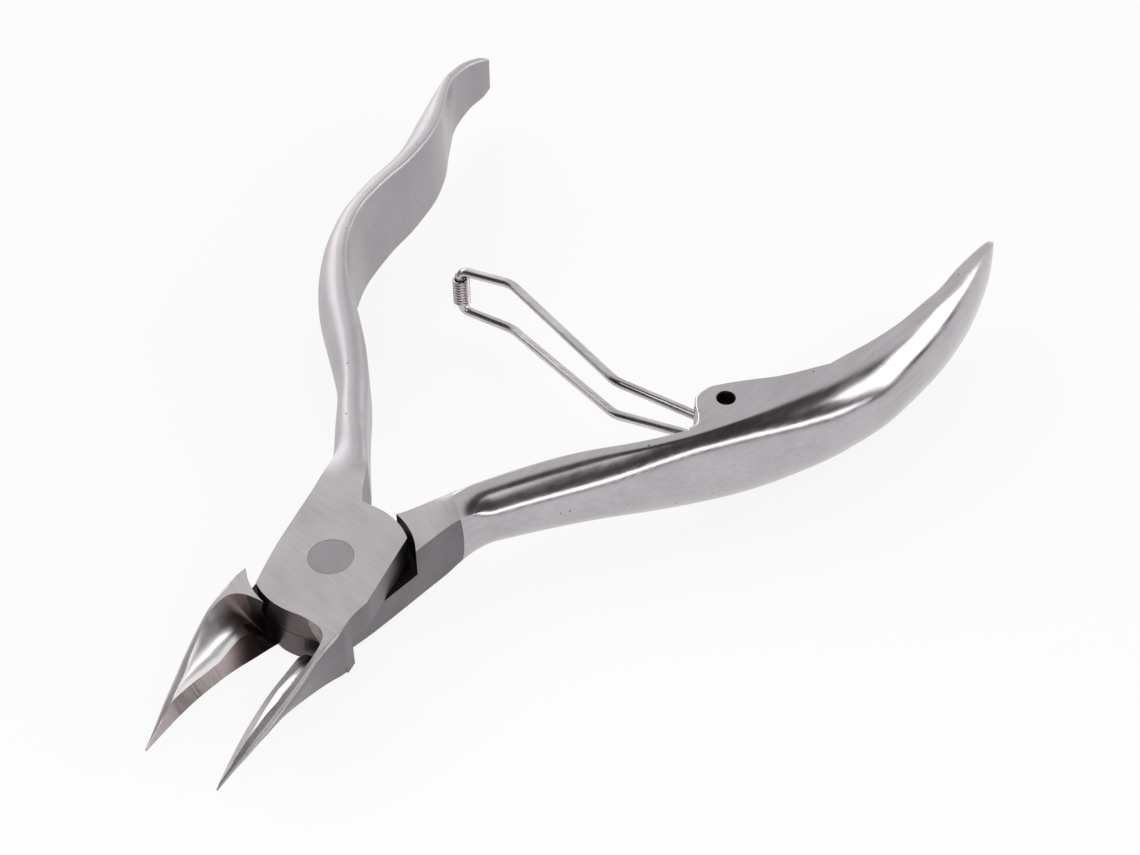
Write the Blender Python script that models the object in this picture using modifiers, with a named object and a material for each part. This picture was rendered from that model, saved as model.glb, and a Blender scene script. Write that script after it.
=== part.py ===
"""Lap-joint nail nippers: two crossed halves, a flush rivet, a wire spring and its roller.

Every half is worked out closed, with its cutting edge along the middle plane and its handle
towards +Y, and is then swung open about the rivet. Lengths are millimetres until a mesh or an
object is made. The origin is the centre of the rivet's lower face, and +Z is up through the joint.
"""

from math import cos, pi, radians, sin, tan

import bmesh
import bpy
import numpy as np

MM = 0.001

# Joint
HALF_THICK = 3.7            # the lap joint is 7.4 mm thick
HALF_OPENING = 9.5          # degrees each half stands open from the closed position
PLATE_RADIUS = 8.55         # lap plate
SHOULDER_RADIUS = 9.2       # pocket in which the other half's lap plate turns
LAP_GAP = 0.05              # each lap face stands this far off the middle plane
JOINT_SIDE = 6.5            # the joint's ground sides
RIVET_RADIUS = 2.1
RIVET_FACE_RADIUS = 2.48
RIVET_FLARE = 1.0           # depth of the flared ends
RUNNING_FIT = 0.05

# Jaws, as half heights and distances from the cutting plane
EDGE_X = 0.06
TIP_Y = -27.2
HEEL_UPPER = 8.55
HEEL_LOWER = 9.1
BEVEL_SLOPE = 1.0
JAW_WALL = 0.65
JAW_BULGE = 0.3

# Handles
HANDLE_END = 96.3
EDGE_ROUND = 0.4
CREST_FLAT = 0.5

# Spring boss on the lower half
BOSS_HOLE = (18.6, 45.8)
BOSS_HOLE_RADIUS = 1.06
SLOT_CENTRE = (14.8, 45.2)
SLOT_RADIUS = 6.6
SLOT_HALF = 2.7

# Spring wire and roller
WIRE_RADIUS = 0.6
WIRE_BEND = 1.1
LEG_BEND = 4.0
POST_TOP = 4.8
LEG_AT_POST = 1.35
LEG_BENDS = ((4.8, 42.4, 2.75), (-15.9, 46.8, 3.75))
ROLLER_AXIS = (-22.96, 45.0)
LEG_AT_ROLLER = 3.2
COIL_WIRE_RADIUS = 0.2
COIL_RADIUS = 0.92
COIL_PITCH = 0.42
COIL_TURNS = 9.5

# Profiles along a half, as (distance along Y, value). Jaw distances run from the joint to the tip.
RIM_HEIGHT = ((8.0, 3.7), (10.8, 3.7), (12.5, 3.5), (15.2, 2.4), (17.7, 1.25), (19.8, 0.2),
              (22.3, -0.95), (24.2, -1.9), (27.2, -3.35))
PLATE_SIDE = ((-6.3, 5.8), (0.0, 6.35), (8.55, 6.5))
RIM_OUTER = ((4.5, 6.5), (6.2, 6.0), (7.3, 5.8), (8.6, 5.75), (10.2, 5.6), (11.7, 5.3),
             (13.0, 5.05), (14.1, 4.8), (15.8, 4.4), (17.3, 3.95), (18.8, 3.5), (20.3, 3.0),
             (21.8, 2.45), (23.2, 1.95), (24.5, 1.35), (25.8, 0.8), (27.2, 0.3))
RIM_INNER = ((0.0, 0.3), (0.1, 1.0), (0.3, 2.0), (0.6, 3.0), (1.2, 3.9), (2.1, 4.4),
             (3.2, 4.5), (4.4, 4.4), (6.1, 3.9), (7.8, 3.3), (9.2, 2.8), (10.6, 2.15),
             (12.2, 1.65), (13.7, 1.2), (15.5, 0.8), (18.1, 0.22))
BEVEL_TOP = ((0.0, 0.15), (0.8, 1.3), (1.7, 1.9), (2.8, 1.95), (4.1, 1.75), (5.5, 1.45),
             (6.8, 1.22), (8.3, 1.2), (11.3, 1.25), (13.0, 1.25), (13.8, 1.15), (15.5, 0.75),
             (18.1, 0.18))
EDGE_HEIGHT = ((8.0, -3.3), (9.6, -2.95), (12.0, -2.5), (14.8, -1.95), (16.5, -1.78),
               (18.5, -1.75), (20.4, -1.85), (22.4, -2.15), (24.4, -2.65), (26.0, -3.1),
               (27.2, -3.45))
KEEL_X = ((4.5, 6.4), (6.2, 5.95), (7.3, 5.7), (8.1, 5.65), (9.0, 5.35), (9.9, 4.8),
          (11.0, 4.2), (12.2, 3.65), (13.7, 3.2), (16.7, 2.5), (19.8, 1.85), (22.9, 1.16),
          (24.5, 0.82), (26.1, 0.5), (27.2, 0.22))
KEEL_HEIGHT = ((9.0, -3.7), (12.0, -3.68), (13.7, -3.4), (15.2, -3.08), (16.7, -2.82),
               (18.3, -2.65), (19.8, -2.55), (21.4, -2.6), (22.9, -2.75), (24.5, -3.0),
               (26.1, -3.35), (27.2, -3.6))

PLAIN_HEIGHT = ((12.0, 3.7), (20.0, 4.3), (30.0, 5.1), (40.0, 6.1), (48.0, 6.7), (53.0, 6.7),
                (60.0, 6.35), (68.0, 6.0), (75.0, 5.8), (81.0, 5.3), (87.0, 4.6), (92.0, 3.9),
                (95.0, 3.3), (96.3, 2.6))
BOSS_SIDE_HEIGHT = ((12.0, 3.7), (20.0, 4.3), (30.0, 5.0), (40.0, 5.7), (46.0, 6.1), (53.0, 6.2),
                    (60.0, 6.1), (68.0, 5.9), (75.0, 5.8), (81.0, 5.3), (87.0, 4.6), (92.0, 3.6),
                    (94.6, 2.7), (96.3, 1.4))
PLAIN_INNER = ((8.55, -0.4), (9.4, -0.9), (14.8, -2.9), (18.9, -5.0), (23.3, -7.1),
               (27.5, -9.0), (31.7, -11.3), (36.9, -14.9), (42.5, -19.1), (48.2, -21.6),
               (54.3, -22.6), (60.0, -22.3), (66.0, -21.4), (71.4, -21.2), (77.0, -21.95),
               (82.3, -23.65), (88.0, -25.0), (92.0, -24.7), (95.0, -23.6), (96.3, -23.3))
PLAIN_OUTER = ((8.55, -6.5), (12.0, -6.75), (16.2, -8.25), (19.6, -9.8), (25.7, -12.5),
               (33.4, -17.9), (38.2, -21.4), (43.7, -24.2), (48.6, -25.6), (54.2, -26.25),
               (60.3, -26.2), (68.0, -25.4), (73.0, -25.9), (78.7, -26.6), (87.6, -26.9),
               (92.4, -26.8), (95.0, -25.2), (96.3, -23.8))
BOSS_SIDE_INNER = ((8.55, -0.3), (9.4, -1.1), (15.0, -3.05), (21.6, -6.2), (28.3, -10.1),
                   (35.1, -15.4), (39.6, -18.3), (45.0, -21.0), (50.0, -22.5), (55.0, -23.6),
                   (60.0, -24.4), (66.0, -25.6), (72.0, -26.2), (78.0, -26.2), (84.8, -25.3),
                   (90.0, -24.7), (94.4, -24.1), (96.3, -23.8))
BOSS_SIDE_OUTER = ((8.55, -6.5), (12.0, -6.6), (15.0, -7.6), (18.1, -9.2), (24.5, -13.0),
                   (32.6, -18.1), (38.0, -21.3), (43.5, -24.6), (49.7, -27.8), (56.3, -30.3),
                   (64.1, -31.6), (73.2, -31.3), (80.6, -30.3), (87.8, -28.3), (94.2, -25.6),
                   (96.3, -24.1))
BOSS_NOSE = ((39.2, -17.9), (40.6, -18.2), (41.8, -17.5), (42.8, -16.4), (44.2, -15.55),
             (46.0, -15.8), (47.6, -16.75), (49.4, -18.1), (53.2, -21.1), (58.5, -24.05))

SHARP_ANGLE = 32            # degrees between faces from which an edge is drawn sharp

# Points round a section: left side, top, right side, bottom
LEFT_POINTS = 8
RIGHT_POINTS = 5
BOTTOM_POINTS = 5
TOP_SHARES = (0.0, 0.2, 0.4, 0.6, 0.85, 0.93)


def through(points, at):
    """Smooth curve through the points: a cubic between each two, with slopes that never overshoot."""
    px, py = np.array(points, dtype=float).T
    at = np.clip(at, px[0], px[-1])
    step = np.diff(px)
    slope = np.diff(py) / step
    inner = np.where(slope[:-1] * slope[1:] > 0,
                     2 * slope[:-1] * slope[1:] / (slope[:-1] + slope[1:] + 1e-12), 0)
    tangent = np.concatenate([slope[:1], inner, slope[-1:]])
    k = np.clip(np.searchsorted(px, at, side="right") - 1, 0, len(step) - 1)
    t = (at - px[k]) / step[k]
    blend = t * t * (3 - 2 * t)
    return (py[k] * (1 - blend) + py[k + 1] * blend
            + step[k] * t * (1 - t) * ((1 - t) * tangent[k] - t * tangent[k + 1]))


def stations():
    """Distances along Y at which a half's section is worked out, closer together at the joint."""
    jaw = np.linspace(TIP_Y, -11.0, 14)
    heel = -np.array([10.5, 10.0, 9.6, 9.35, 9.15, 9.0, 8.85, 8.7, 8.6])
    front = -PLATE_RADIUS * np.sin(np.radians([86, 78, 70, 60, 50]))
    sides = np.array([-5.6, -2.0, 2.0, 5.6])
    back = PLATE_RADIUS * np.sin(np.radians([50, 60, 70, 78, 86]))
    root = np.array([8.75, 9.4, 10.5, 12.0, 13.5, 15.0, 17.0, 19.0])
    neck = np.arange(22.0, 38.5, 3.0)
    boss = np.arange(39.0, 50.0, 1.0)
    grip = np.linspace(51.5, 91.0, 14)
    end = np.array([93.0, 94.6, 95.6, HANDLE_END])
    return np.concatenate([jaw, heel, front, sides, back, root, neck, boss, grip, end])


def plate_edge(y):
    """Half width of the lap plate: its round edge, cut off by the joint's ground sides."""
    return min(JOINT_SIDE, np.sqrt(max(PLATE_RADIUS ** 2 - y * y, EDGE_X ** 2)))


def side_line(start, end, count):
    """Evenly spaced points from start towards end, without the end itself."""
    share = np.arange(count)[:, None] / count
    return np.array(start) * (1 - share) + np.array(end) * share


def block_section(left, right):
    """Flat-sided section of the joint, counted from its lower left corner."""
    low, high = -HALF_THICK, HALF_THICK
    top = np.array([[left + (right - left) * share, high] for share in TOP_SHARES])
    return np.vstack([side_line((left, low), (left, high), LEFT_POINTS), top,
                      side_line((right, high), (right, low), RIGHT_POINTS),
                      side_line((right, low), (left, low), BOTTOM_POINTS)])


def handle_section(outer, crest, inner, height):
    """D section: half an ellipse outside, flat inside, with softened edges and a narrow flat crest."""
    crest = min(crest, inner - EDGE_ROUND) - CREST_FLAT
    side = np.radians(np.linspace(-45, 45, LEFT_POINTS + 1)[:-1])
    shoulder = np.radians([45, 60, 76])
    soft = inner - EDGE_ROUND * (1 - sin(pi / 4)), height - EDGE_ROUND * (1 - cos(pi / 4))

    def ellipse(angle):
        return np.column_stack([crest + (outer - crest) * np.cos(angle), height * np.sin(angle)])

    top = np.vstack([ellipse(shoulder), (crest, height), (inner - EDGE_ROUND, height), soft])
    flat = side_line((inner, height - EDGE_ROUND), (inner, EDGE_ROUND - height), RIGHT_POINTS)
    below = np.vstack([(inner, EDGE_ROUND - height), (inner - EDGE_ROUND, -height),
                       (crest, -height), ellipse(np.radians([-76, -60]))])
    return np.vstack([ellipse(side), top, flat, below])


def jaw_section(y, heel):
    """Hollow-ground jaw: a bevel up from the cutting edge, a scooped hollow, a thin rim and a back."""
    d = -y
    edge = np.array([EDGE_X, through(EDGE_HEIGHT, d)])
    rim_z = through(RIM_HEIGHT, d)
    rim_out = through(RIM_OUTER, d)
    rim_in = min(through(RIM_INNER, d - heel), rim_out - 0.12)
    keel = np.array([through(KEEL_X, d), through(KEEL_HEIGHT, d)])
    bevel_x = min(through(BEVEL_TOP, d - heel), rim_in - 0.01)
    bevel = np.array([bevel_x, min(edge[1] + BEVEL_SLOPE * (bevel_x - edge[0]), rim_z - 0.02)])
    rim = np.array([rim_in, rim_z])

    def back(share):
        bulge = 4 * JAW_BULGE * min(1, rim_out / 3) * share * (1 - share)
        x = rim_out + (keel[0] - rim_out) * share + bulge
        return np.column_stack([x, rim_z + (keel[1] - rim_z) * share])

    depth = min((rim_z - bevel[1]) / (rim_z - keel[1]), 1)
    wall = back(np.array([depth]))[0, 0]
    belly = np.array([max(bevel[0], wall - JAW_WALL), bevel[1]])
    t = np.linspace(0, 1, LEFT_POINTS - 1)[:-1, None]
    scoop = (1 - t) ** 2 * bevel + 2 * t * (1 - t) * belly + t * t * rim
    left = np.vstack([edge, (edge + bevel) / 2, scoop])
    top = np.array([[rim_in + (rim_out - rim_in) * share, rim_z] for share in TOP_SHARES])
    right = back(np.arange(RIGHT_POINTS) / RIGHT_POINTS)
    return np.vstack([left, top, right, side_line(keel, edge, BOTTOM_POINTS)])


def half_sections(inner_line, outer_line, heights, nose, heel):
    """All sections of a half whose handle lies to -X and whose jaw lies to +X."""
    rows = []
    for y in stations():
        if y < -PLATE_RADIUS:
            section = jaw_section(y, heel)
        elif y < PLATE_RADIUS:
            left = -through(PLATE_SIDE, y) if y > 0 else -min(plate_edge(y), through(PLATE_SIDE, y))
            right = plate_edge(y) if y > 0 else through(RIM_OUTER, -y)
            section = block_section(left, right)
        else:
            inner = through(inner_line, y)
            crest = inner
            if nose and nose[0][0] < y < nose[-1][0]:
                inner = max(inner, through(nose, y))
            outer = through(outer_line, y)
            plain = handle_section(outer, crest, inner, through(heights, y))
            share = np.clip((y - 11.0) / 5.0, 0, 1)
            section = block_section(outer, inner) * (1 - share) + plain * share
        rows.append(np.column_stack([section[:, 0], np.full(len(section), y), section[:, 1]]))
    return np.array(rows)


def lofted_mesh(name, rows):
    """Closed mesh over a stack of sections, with a flat face over each end."""
    count, around = rows.shape[:2]
    mesh = bpy.data.meshes.new(name)
    faces = [list(range(around)), list(range((count - 1) * around, count * around))[::-1]]
    for i in range(count - 1):
        for j in range(around):
            k = (j + 1) % around
            faces.append([i * around + j, (i + 1) * around + j,
                          (i + 1) * around + k, i * around + k])
    mesh.from_pydata((rows.reshape(-1, 3) * MM).tolist(), [], faces)
    shell = bmesh.new()
    shell.from_mesh(mesh)
    bmesh.ops.remove_doubles(shell, verts=shell.verts, dist=1e-6)
    bmesh.ops.recalc_face_normals(shell, faces=shell.faces)
    shell.to_mesh(mesh)
    shell.free()
    return mesh


def steel(name, colour, roughness):
    """Stainless steel finish."""
    material = bpy.data.materials.new(name)
    material.use_nodes = True
    surface = material.node_tree.nodes["Principled BSDF"]
    surface.inputs["Base Color"].default_value = (*colour, 1)
    surface.inputs["Metallic"].default_value = 1.0
    surface.inputs["Roughness"].default_value = roughness
    return material


def add_part(name, data, material, parent, group):
    """Object for one sub-part, under the empty that carries it."""
    part = bpy.data.objects.new(name, data)
    group.objects.link(part)
    part.parent = parent
    data.materials.append(material)
    return part


def add_empty(name, location, turn, group, parent=None):
    """Empty on a joint's axis, in millimetres and degrees."""
    empty = bpy.data.objects.new(name, None)
    empty.location = [value * MM for value in location]
    empty.rotation_euler = (0, 0, radians(turn))
    empty.parent = parent
    group.objects.link(empty)
    return empty


def as_cutter(shape):
    """Keep a cutting shape out of renders and show it as wires."""
    shape.hide_render = True
    shape.display_type = "WIRE"


def add_cylinder(name, radius, low, high, place, parent, group, sides=64):
    """Upright cylinder used as a cutter."""
    mesh = bpy.data.meshes.new(name)
    shape = bmesh.new()
    bmesh.ops.create_cone(shape, cap_ends=True, segments=sides, radius1=radius * MM,
                          radius2=radius * MM, depth=(high - low) * MM)
    shape.to_mesh(mesh)
    shape.free()
    cutter = bpy.data.objects.new(name, mesh)
    cutter.location = (place[0] * MM, place[1] * MM, (low + high) / 2 * MM)
    cutter.parent = parent
    as_cutter(cutter)
    group.objects.link(cutter)
    return cutter


def rivet_profile(grow, reach):
    """Rivet outline from its top centre down to its bottom centre, grown for the bore's clearance."""
    face = RIVET_FACE_RADIUS + grow
    shaft = RIVET_RADIUS + grow
    flare = HALF_THICK - RIVET_FLARE
    lip = face + (face - shaft) / RIVET_FLARE * reach
    end = HALF_THICK + reach
    return [(0, end), (lip, end), (shaft, flare), (shaft, -flare), (lip, -end), (0, -end)]


def turned(name, profile, group, parent):
    """Solid of revolution about Z from a profile at +X, by a Screw modifier."""
    mesh = bpy.data.meshes.new(name)
    mesh.from_pydata([(x * MM, 0, z * MM) for x, z in profile],
                     [(i, i + 1) for i in range(len(profile) - 1)], [])
    part = bpy.data.objects.new(name, mesh)
    part.parent = parent
    group.objects.link(part)
    screw = part.modifiers.new("turn", "SCREW")
    screw.steps = 64
    screw.render_steps = 64
    screw.use_merge_vertices = True
    screw.merge_threshold = 1e-6
    return part


def cut(part, cutter):
    """Take the cutter's shape out of a part."""
    boolean = part.modifiers.new(cutter.name, "BOOLEAN")
    boolean.operation = "DIFFERENCE"
    boolean.solver = "EXACT"
    boolean.object = cutter


def finish(part):
    """Apply a part's modifiers and keep the edges of its flat and ground faces sharp."""
    graph = bpy.context.evaluated_depsgraph_get()
    mesh = bpy.data.meshes.new_from_object(part.evaluated_get(graph))
    part.modifiers.clear()
    part.data = mesh
    mesh.shade_smooth()
    mesh.set_sharp_from_angle(angle=radians(SHARP_ANGLE))


def rounded_path(corners, radii, steps=5):
    """Polyline with each inner corner replaced by an arc of the given radius."""
    corners = [np.array(corner, dtype=float) for corner in corners]
    path = [corners[0]]
    for before, corner, after, radius in zip(corners, corners[1:], corners[2:], radii):
        back = (before - corner) / np.linalg.norm(before - corner)
        on = (after - corner) / np.linalg.norm(after - corner)
        half = np.arccos(np.clip(back @ on, -1, 1)) / 2
        bisector = (back + on) / np.linalg.norm(back + on)
        centre = corner + bisector * radius / sin(half)
        start = corner + back * radius / tan(half)
        axis_x = (start - centre) / radius
        axis_y = -back
        for step in range(steps + 1):
            angle = (pi - 2 * half) * step / steps
            path.append(centre + radius * (axis_x * cos(angle) + axis_y * sin(angle)))
    path.append(corners[-1])
    return path


def spring_path():
    """Centre line of the wire, from its upper end in the boss round the roller to its lower end."""
    post = np.array([*BOSS_HOLE, 0.0])
    upper = [post + (0, 0, POST_TOP), post + (0, 0, LEG_AT_POST), *LEG_BENDS,
             (*ROLLER_AXIS, LEG_AT_ROLLER)]
    lower = [(x, y, -z) for x, y, z in upper[::-1]]
    radii = [WIRE_BEND, LEG_BEND, LEG_BEND, WIRE_BEND]
    return [point - post for point in map(np.array, rounded_path(upper + lower, radii + radii[::-1]))]


def coil_path():
    """Centre line of the close-wound roller about its own axis."""
    turns = np.arange(int(COIL_TURNS * 14) + 1) / 14
    angle = 2 * pi * turns
    height = (turns - COIL_TURNS / 2) * COIL_PITCH
    return np.column_stack([COIL_RADIUS * np.cos(angle), COIL_RADIUS * np.sin(angle), height])


def wire(name, path, radius, material, parent, group, resolution=2):
    """Round wire along a path."""
    curve = bpy.data.curves.new(name, "CURVE")
    curve.dimensions = "3D"
    curve.bevel_depth = radius * MM
    curve.bevel_resolution = resolution
    curve.use_fill_caps = True
    spline = curve.splines.new("POLY")
    spline.points.add(len(path) - 1)
    for point, place in zip(spline.points, path):
        point.co = (*(value * MM for value in place), 1)
    return add_part(name, curve, material, parent, group)


def build():
    """The whole tool, open as it lies on a bench."""
    for item in list(bpy.data.objects):
        bpy.data.objects.remove(item)
    group = bpy.data.collections.new("nail_nippers")
    cutters = bpy.data.collections.new("cutters")
    bpy.context.scene.collection.children.link(group)
    bpy.context.scene.collection.children.link(cutters)

    ground = steel("ground_stainless", (0.62, 0.60, 0.61), 0.32)
    polished = steel("polished_stainless", (0.66, 0.65, 0.66), 0.15)
    rivet_steel = steel("rivet_stainless", (0.52, 0.50, 0.51), 0.38)
    spring_steel = steel("spring_stainless", (0.70, 0.69, 0.68), 0.2)

    pivot = (0, 0, HALF_THICK)
    lower_frame = add_empty("lower_frame", pivot, -HALF_OPENING, group)
    upper_frame = add_empty("upper_frame", pivot, HALF_OPENING, group)
    spring_frame = add_empty("spring_frame", (*BOSS_HOLE, 0), 0, group, lower_frame)
    roller_place = (ROLLER_AXIS[0] - BOSS_HOLE[0], ROLLER_AXIS[1] - BOSS_HOLE[1], 0)
    roller_frame = add_empty("roller_frame", roller_place, 0, group, spring_frame)

    upper_rows = half_sections(PLAIN_INNER, PLAIN_OUTER, PLAIN_HEIGHT, (), HEEL_UPPER)
    lower_rows = half_sections(BOSS_SIDE_INNER, BOSS_SIDE_OUTER, BOSS_SIDE_HEIGHT,
                               BOSS_NOSE, HEEL_LOWER)
    lower_rows[:, :, 0] *= -1
    upper = add_part("upper_half", lofted_mesh("upper_half", upper_rows), ground, upper_frame, group)
    lower = add_part("lower_half", lofted_mesh("lower_half", lower_rows), polished, lower_frame, group)

    reach = HALF_THICK + 4.0
    cut(upper, add_cylinder("lap_pocket_upper", SHOULDER_RADIUS, -reach, LAP_GAP, (0, 0),
                            upper_frame, cutters, 96))
    cut(lower, add_cylinder("lap_pocket_lower", SHOULDER_RADIUS, -LAP_GAP, reach, (0, 0),
                            lower_frame, cutters, 96))
    bore = turned("rivet_bore", rivet_profile(RUNNING_FIT, 0.4), cutters, lower_frame)
    as_cutter(bore)
    cut(upper, bore)
    cut(lower, bore)
    cut(lower, add_cylinder("boss_hole", BOSS_HOLE_RADIUS, -reach, reach, BOSS_HOLE,
                            lower_frame, cutters, 32))
    cut(lower, add_cylinder("boss_slot", SLOT_RADIUS, -SLOT_HALF, SLOT_HALF, SLOT_CENTRE,
                            lower_frame, cutters, 48))

    rivet = turned("joint_rivet", rivet_profile(0, 0), group, lower_frame)
    rivet.data.materials.append(rivet_steel)
    for part in (upper, lower, rivet):
        finish(part)
    wire("spring_wire", spring_path(), WIRE_RADIUS, spring_steel, spring_frame, group)
    wire("roller_coil", coil_path(), COIL_WIRE_RADIUS, spring_steel, roller_frame, group, 1)


build()
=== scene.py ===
"""Looks of the lap-joint nail nippers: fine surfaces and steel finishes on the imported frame.

Each half is worked out closed, in millimetres, with its cutting edge on the middle plane and its
handle towards +Y. It is then swung open about the rivet and raised by half the joint's thickness.
"""

from math import cos, pi, radians, sin, tan

import bmesh
import bpy
import numpy as np
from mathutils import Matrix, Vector


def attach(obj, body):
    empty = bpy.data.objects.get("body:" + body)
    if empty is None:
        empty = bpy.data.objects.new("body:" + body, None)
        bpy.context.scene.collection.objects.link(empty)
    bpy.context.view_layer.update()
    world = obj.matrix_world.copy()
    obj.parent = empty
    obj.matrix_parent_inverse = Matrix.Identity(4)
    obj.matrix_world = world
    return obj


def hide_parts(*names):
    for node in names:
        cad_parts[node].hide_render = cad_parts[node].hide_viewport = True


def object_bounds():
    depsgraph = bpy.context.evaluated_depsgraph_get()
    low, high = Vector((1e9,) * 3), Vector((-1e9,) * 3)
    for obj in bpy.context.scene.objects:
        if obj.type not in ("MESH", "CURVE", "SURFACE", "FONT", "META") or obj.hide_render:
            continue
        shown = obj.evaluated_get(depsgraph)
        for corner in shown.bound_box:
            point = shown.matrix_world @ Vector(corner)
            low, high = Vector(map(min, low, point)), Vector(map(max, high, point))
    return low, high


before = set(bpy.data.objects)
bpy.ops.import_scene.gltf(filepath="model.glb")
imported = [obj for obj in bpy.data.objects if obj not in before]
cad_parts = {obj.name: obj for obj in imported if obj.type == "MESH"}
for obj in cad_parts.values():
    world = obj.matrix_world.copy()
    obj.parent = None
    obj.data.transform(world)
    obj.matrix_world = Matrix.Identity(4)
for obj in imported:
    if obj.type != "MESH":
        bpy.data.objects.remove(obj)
cad_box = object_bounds()

MM = 0.001

# Joint
HALF_THICK = 3.7
HALF_OPENING = 9.5          # degrees each half stands open
PLATE_RADIUS = 8.55
SHOULDER_RADIUS = 9.2
LAP_GAP = 0.05
JOINT_SIDE = 6.5
RIVET_RADIUS = 2.1
RIVET_FACE_RADIUS = 2.48
RIVET_FLARE = 1.0
RUNNING_FIT = 0.05

# Jaws, as half heights and distances from the cutting plane
EDGE_X = 0.06
TIP_Y = -27.2
HEEL_UPPER = 8.55
HEEL_LOWER = 9.1
BEVEL_SLOPE = 1.0
JAW_WALL = 0.65
JAW_BULGE = 0.3

# Handles
HANDLE_END = 96.3
CREST_FLAT = 0.5

# Spring boss on the lower half
BOSS_HOLE = (18.6, 45.8)
BOSS_TOP = 6.13
BOSS_HOLE_RADIUS = 1.06
HOLE_CHAMFER = 0.16
SLOT_CENTRE = (14.8, 45.2)
SLOT_RADIUS = 6.6
SLOT_HALF = 2.7

# Spring wire and roller
WIRE_RADIUS = 0.6
WIRE_BEND = 1.1
LEG_BEND = 4.0
POST_TOP = 4.8
LEG_AT_POST = 1.35
LEG_BENDS = ((4.8, 42.4, 2.75), (-15.9, 46.8, 3.75))
ROLLER_AXIS = (-22.96, 45.0)
LEG_AT_ROLLER = 3.2
COIL_WIRE_RADIUS = 0.2
COIL_RADIUS = 0.92
COIL_PITCH = 0.42
COIL_TURNS = 9.5

# Profiles along a half, as (distance along Y, value). Jaw distances run from the joint to the tip.
RIM_HEIGHT = ((8.0, 3.7), (10.8, 3.7), (12.5, 3.5), (15.2, 2.4), (17.7, 1.25), (19.8, 0.2),
              (22.3, -0.95), (24.2, -1.9), (27.2, -3.35))
PLATE_SIDE = ((-6.3, 5.8), (0.0, 6.35), (8.55, 6.5))
RIM_OUTER = ((4.5, 6.5), (6.2, 6.0), (7.3, 5.8), (8.6, 5.75), (10.2, 5.6), (11.7, 5.3),
             (13.0, 5.05), (14.1, 4.8), (15.8, 4.4), (17.3, 3.95), (18.8, 3.5), (20.3, 3.0),
             (21.8, 2.45), (23.2, 1.95), (24.5, 1.35), (25.8, 0.8), (27.2, 0.3))
RIM_INNER = ((0.0, 0.3), (0.1, 1.0), (0.3, 2.0), (0.6, 3.0), (1.2, 3.9), (2.1, 4.4),
             (3.2, 4.5), (4.4, 4.4), (6.1, 3.9), (7.8, 3.3), (9.2, 2.8), (10.6, 2.15),
             (12.2, 1.65), (13.7, 1.2), (15.5, 0.8), (18.1, 0.22))
BEVEL_TOP = ((0.0, 0.15), (0.8, 1.3), (1.7, 1.9), (2.8, 1.95), (4.1, 1.75), (5.5, 1.45),
             (6.8, 1.22), (8.3, 1.2), (11.3, 1.25), (13.0, 1.25), (13.8, 1.15), (15.5, 0.75),
             (18.1, 0.18))
EDGE_HEIGHT = ((8.0, -3.3), (9.6, -2.95), (12.0, -2.5), (14.8, -1.95), (16.5, -1.78),
               (18.5, -1.75), (20.4, -1.85), (22.4, -2.15), (24.4, -2.65), (26.0, -3.1),
               (27.2, -3.45))
KEEL_X = ((4.5, 6.4), (6.2, 5.95), (7.3, 5.7), (8.1, 5.65), (9.0, 5.35), (9.9, 4.8),
          (11.0, 4.2), (12.2, 3.65), (13.7, 3.2), (16.7, 2.5), (19.8, 1.85), (22.9, 1.16),
          (24.5, 0.82), (26.1, 0.5), (27.2, 0.22))
KEEL_HEIGHT = ((9.0, -3.7), (12.0, -3.68), (13.7, -3.4), (15.2, -3.08), (16.7, -2.82),
               (18.3, -2.65), (19.8, -2.55), (21.4, -2.6), (22.9, -2.75), (24.5, -3.0),
               (26.1, -3.35), (27.2, -3.6))
PLAIN_HEIGHT = ((12.0, 3.7), (20.0, 4.3), (30.0, 5.1), (40.0, 6.1), (48.0, 6.7), (53.0, 6.7),
                (60.0, 6.35), (68.0, 6.0), (75.0, 5.8), (81.0, 5.3), (87.0, 4.6), (92.0, 3.9),
                (95.0, 3.3), (96.3, 2.6))
BOSS_SIDE_HEIGHT = ((12.0, 3.7), (20.0, 4.3), (30.0, 5.0), (40.0, 5.7), (46.0, 6.1), (53.0, 6.2),
                    (60.0, 6.1), (68.0, 5.9), (75.0, 5.8), (81.0, 5.3), (87.0, 4.6), (92.0, 3.6),
                    (94.6, 2.7), (96.3, 1.4))
PLAIN_INNER = ((8.55, -0.4), (9.4, -0.9), (14.8, -2.9), (18.9, -5.0), (23.3, -7.1),
               (27.5, -9.0), (31.7, -11.3), (36.9, -14.9), (42.5, -19.1), (48.2, -21.6),
               (54.3, -22.6), (60.0, -22.3), (66.0, -21.4), (71.4, -21.2), (77.0, -21.95),
               (82.3, -23.65), (88.0, -25.0), (92.0, -24.7), (95.0, -23.6), (96.3, -23.3))
PLAIN_OUTER = ((8.55, -6.5), (12.0, -6.75), (16.2, -8.25), (19.6, -9.8), (25.7, -12.5),
               (33.4, -17.9), (38.2, -21.4), (43.7, -24.2), (48.6, -25.6), (54.2, -26.25),
               (60.3, -26.2), (68.0, -25.4), (73.0, -25.9), (78.7, -26.6), (87.6, -26.9),
               (92.4, -26.8), (95.0, -25.2), (96.3, -23.8))
BOSS_SIDE_INNER = ((8.55, -0.3), (9.4, -1.1), (15.0, -3.05), (21.6, -6.2), (28.3, -10.1),
                   (35.1, -15.4), (39.6, -18.3), (45.0, -21.0), (50.0, -22.5), (55.0, -23.6),
                   (60.0, -24.4), (66.0, -25.6), (72.0, -26.2), (78.0, -26.2), (84.8, -25.3),
                   (90.0, -24.7), (94.4, -24.1), (96.3, -23.8))
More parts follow.
